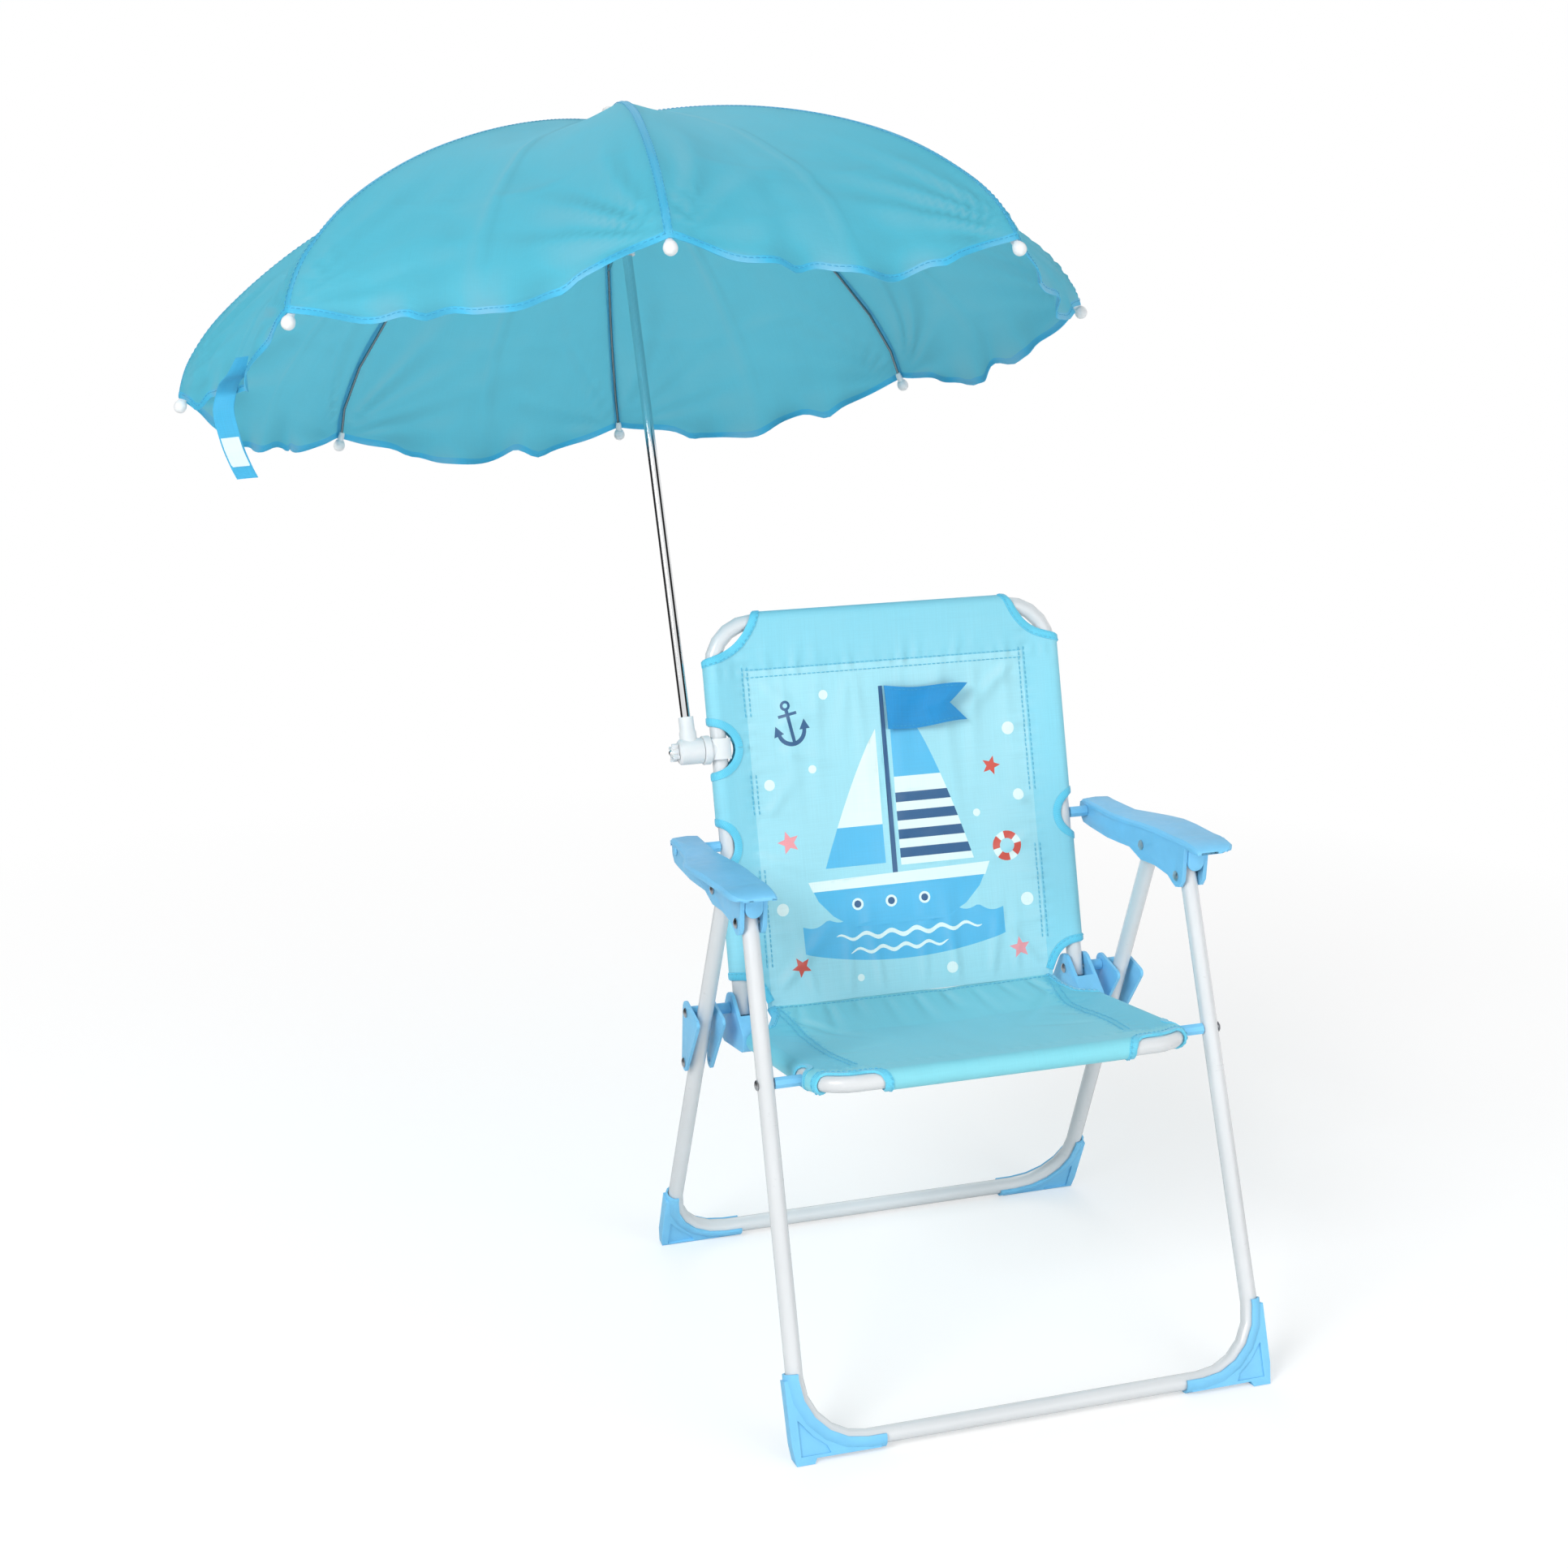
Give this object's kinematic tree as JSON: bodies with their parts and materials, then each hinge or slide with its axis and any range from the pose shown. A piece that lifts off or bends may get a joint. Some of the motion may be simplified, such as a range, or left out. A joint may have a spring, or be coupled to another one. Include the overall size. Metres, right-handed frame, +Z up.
{
  "type": "child's folding umbrella chair",
  "caption": "Child's folding armchair of white steel tube with an aqua fabric sling, blue plastic fittings and a clip-on umbrella that tilts.",
  "frame": {"origin": "centre of the bounding box's bottom face, on the floor that the chair stands on", "axes": "+Z up; the sitter looks along -Y; +X is on the right when the chair is seen from the front, and the umbrella is clamped on the -X side"},
  "size_m": [0.754, 0.782, 0.9565],
  "materials": {
    "tube": "white powder coat, satin",
    "blue_plastic": "moulded, fine satin",
    "white_plastic": "moulded, satin",
    "rivet_steel": "zinc plated",
    "bright_steel": "bright plated",
    "sling_cloth": "plain woven, printed",
    "canopy_cloth": "thin coated taffeta",
    "strap_cloth": "plain woven band"
  },
  "bodies": {
    "arm_left": {"armrest_left": "blue_plastic", "rivet_arm_front_left": "rivet_steel", "rivet_arm_mid_left": "rivet_steel"},
    "arm_right": {"armrest_right": "blue_plastic", "rivet_arm_front_right": "rivet_steel", "rivet_arm_mid_right": "rivet_steel"},
    "back": {"back_frame": "tube", "clamp_bolt": "rivet_steel", "clamp_clip": "white_plastic", "sling_back": "sling_cloth", "spacer_arm_left": "blue_plastic", "spacer_arm_right": "blue_plastic"},
    "umbrella": {"canopy": "canopy_cloth", "closing_strap": "strap_cloth", "ferrule": "white_plastic", "pole": "bright_steel", "rib_1": "bright_steel", "rib_2": "bright_steel", "rib_3": "bright_steel", "rib_4": "bright_steel", "rib_5": "bright_steel", "rib_6": "bright_steel", "rib_7": "bright_steel", "rib_8": "bright_steel", "rib_hub": "white_plastic", "runner": "white_plastic", "stretcher_1": "bright_steel", "stretcher_2": "bright_steel", "stretcher_3": "bright_steel", "stretcher_4": "bright_steel", "stretcher_5": "bright_steel", "stretcher_6": "bright_steel", "stretcher_7": "bright_steel", "stretcher_8": "bright_steel"},
    "umbrella_socket": {"clamp_socket": "white_plastic"},
    "link_left": {"fold_link_left": "blue_plastic", "rivet_link_foot_left": "rivet_steel"},
    "link_right": {"fold_link_right": "blue_plastic", "rivet_link_foot_right": "rivet_steel"},
    "front_legs": {"foot_front_left": "blue_plastic", "foot_front_right": "blue_plastic", "front_leg_frame": "tube", "leg_plug_left": "blue_plastic", "leg_plug_right": "blue_plastic", "rivet_seat_left": "rivet_steel", "rivet_seat_right": "rivet_steel"},
    "rear_legs": {"foot_rear_left": "blue_plastic", "foot_rear_right": "blue_plastic", "rear_leg_frame": "tube"},
    "seat": {"hinge_bracket_left": "blue_plastic", "hinge_bracket_right": "blue_plastic", "rivet_hinge_left": "rivet_steel", "rivet_hinge_right": "rivet_steel", "seat_frame": "tube", "sling_seat": "sling_cloth", "spacer_hinge_left": "blue_plastic", "spacer_hinge_right": "blue_plastic", "spacer_seat_left": "blue_plastic", "spacer_seat_right": "blue_plastic"},
    "wing_nut": {"wing_nut": "white_plastic"}
  },
  "joints": [
    {"name": "arm_fold", "type": "hinge", "parent": "back", "child": "arm_left", "pos_m": [-0.01078, -0.07501, 0.37622], "axis": [-1, 0, 0], "range_deg": [0, 78]},
    {"name": "arm_fold_right", "type": "hinge", "parent": "back", "child": "arm_right", "pos_m": [0.34902, -0.07501, 0.37622], "axis": [-1, 0, 0], "range_deg": [0, 78]},
    {"name": "seat_fold", "type": "hinge", "parent": "back", "child": "seat", "pos_m": [0.16912, -0.10999, 0.2505], "axis": [-1, 0, 0], "range_deg": [0, 75.8]},
    {"name": "link_fold_left", "type": "hinge", "parent": "back", "child": "link_left", "pos_m": [-0.01078, -0.10999, 0.2505], "axis": [-1, 0, 0], "range_deg": [0, 167.3]},
    {"name": "link_fold_right", "type": "hinge", "parent": "back", "child": "link_right", "pos_m": [0.34902, -0.10999, 0.2505], "axis": [-1, 0, 0], "range_deg": [0, 167.3]},
    {"name": "front_legs_fold", "type": "hinge", "parent": "arm_left", "child": "front_legs", "pos_m": [-0.01078, -0.24419, 0.3693], "axis": [1, 0, 0], "range_deg": [0, 84.2]},
    {"name": "rear_legs_fold", "type": "hinge", "parent": "arm_left", "child": "rear_legs", "pos_m": [-0.01078, -0.18129, 0.3765], "axis": [1, 0, 0], "range_deg": [0, 43.9]},
    {"name": "umbrella_tilt", "type": "hinge", "parent": "back", "child": "umbrella_socket", "pos_m": [-0.00248, -0.05396, 0.45185], "axis": [1, 0, 0], "range_deg": [-25, 30]},
    {"name": "umbrella_lift", "type": "slide", "parent": "umbrella_socket", "child": "umbrella", "axis": [-0.0305, 0.3006, 0.9533], "range_m": [0, 0.018]},
    {"name": "wing_nut_turn", "type": "hinge", "parent": "back", "child": "wing_nut", "pos_m": [-0.00248, -0.05396, 0.45185], "axis": [1, 0, 0], "continuous": true}
  ],
  "couplings": [
    {"joint": "arm_fold_right", "follows": "arm_fold", "ratio": 1},
    {"joint": "seat_fold", "follows": "arm_fold", "ratio": 0.97057},
    {"joint": "link_fold_left", "follows": "arm_fold", "ratio": 2.1443},
    {"joint": "link_fold_right", "follows": "arm_fold", "ratio": 2.1443},
    {"joint": "front_legs_fold", "follows": "arm_fold", "ratio": 1.078},
    {"joint": "rear_legs_fold", "follows": "arm_fold", "ratio": 0.56121}
  ]
}
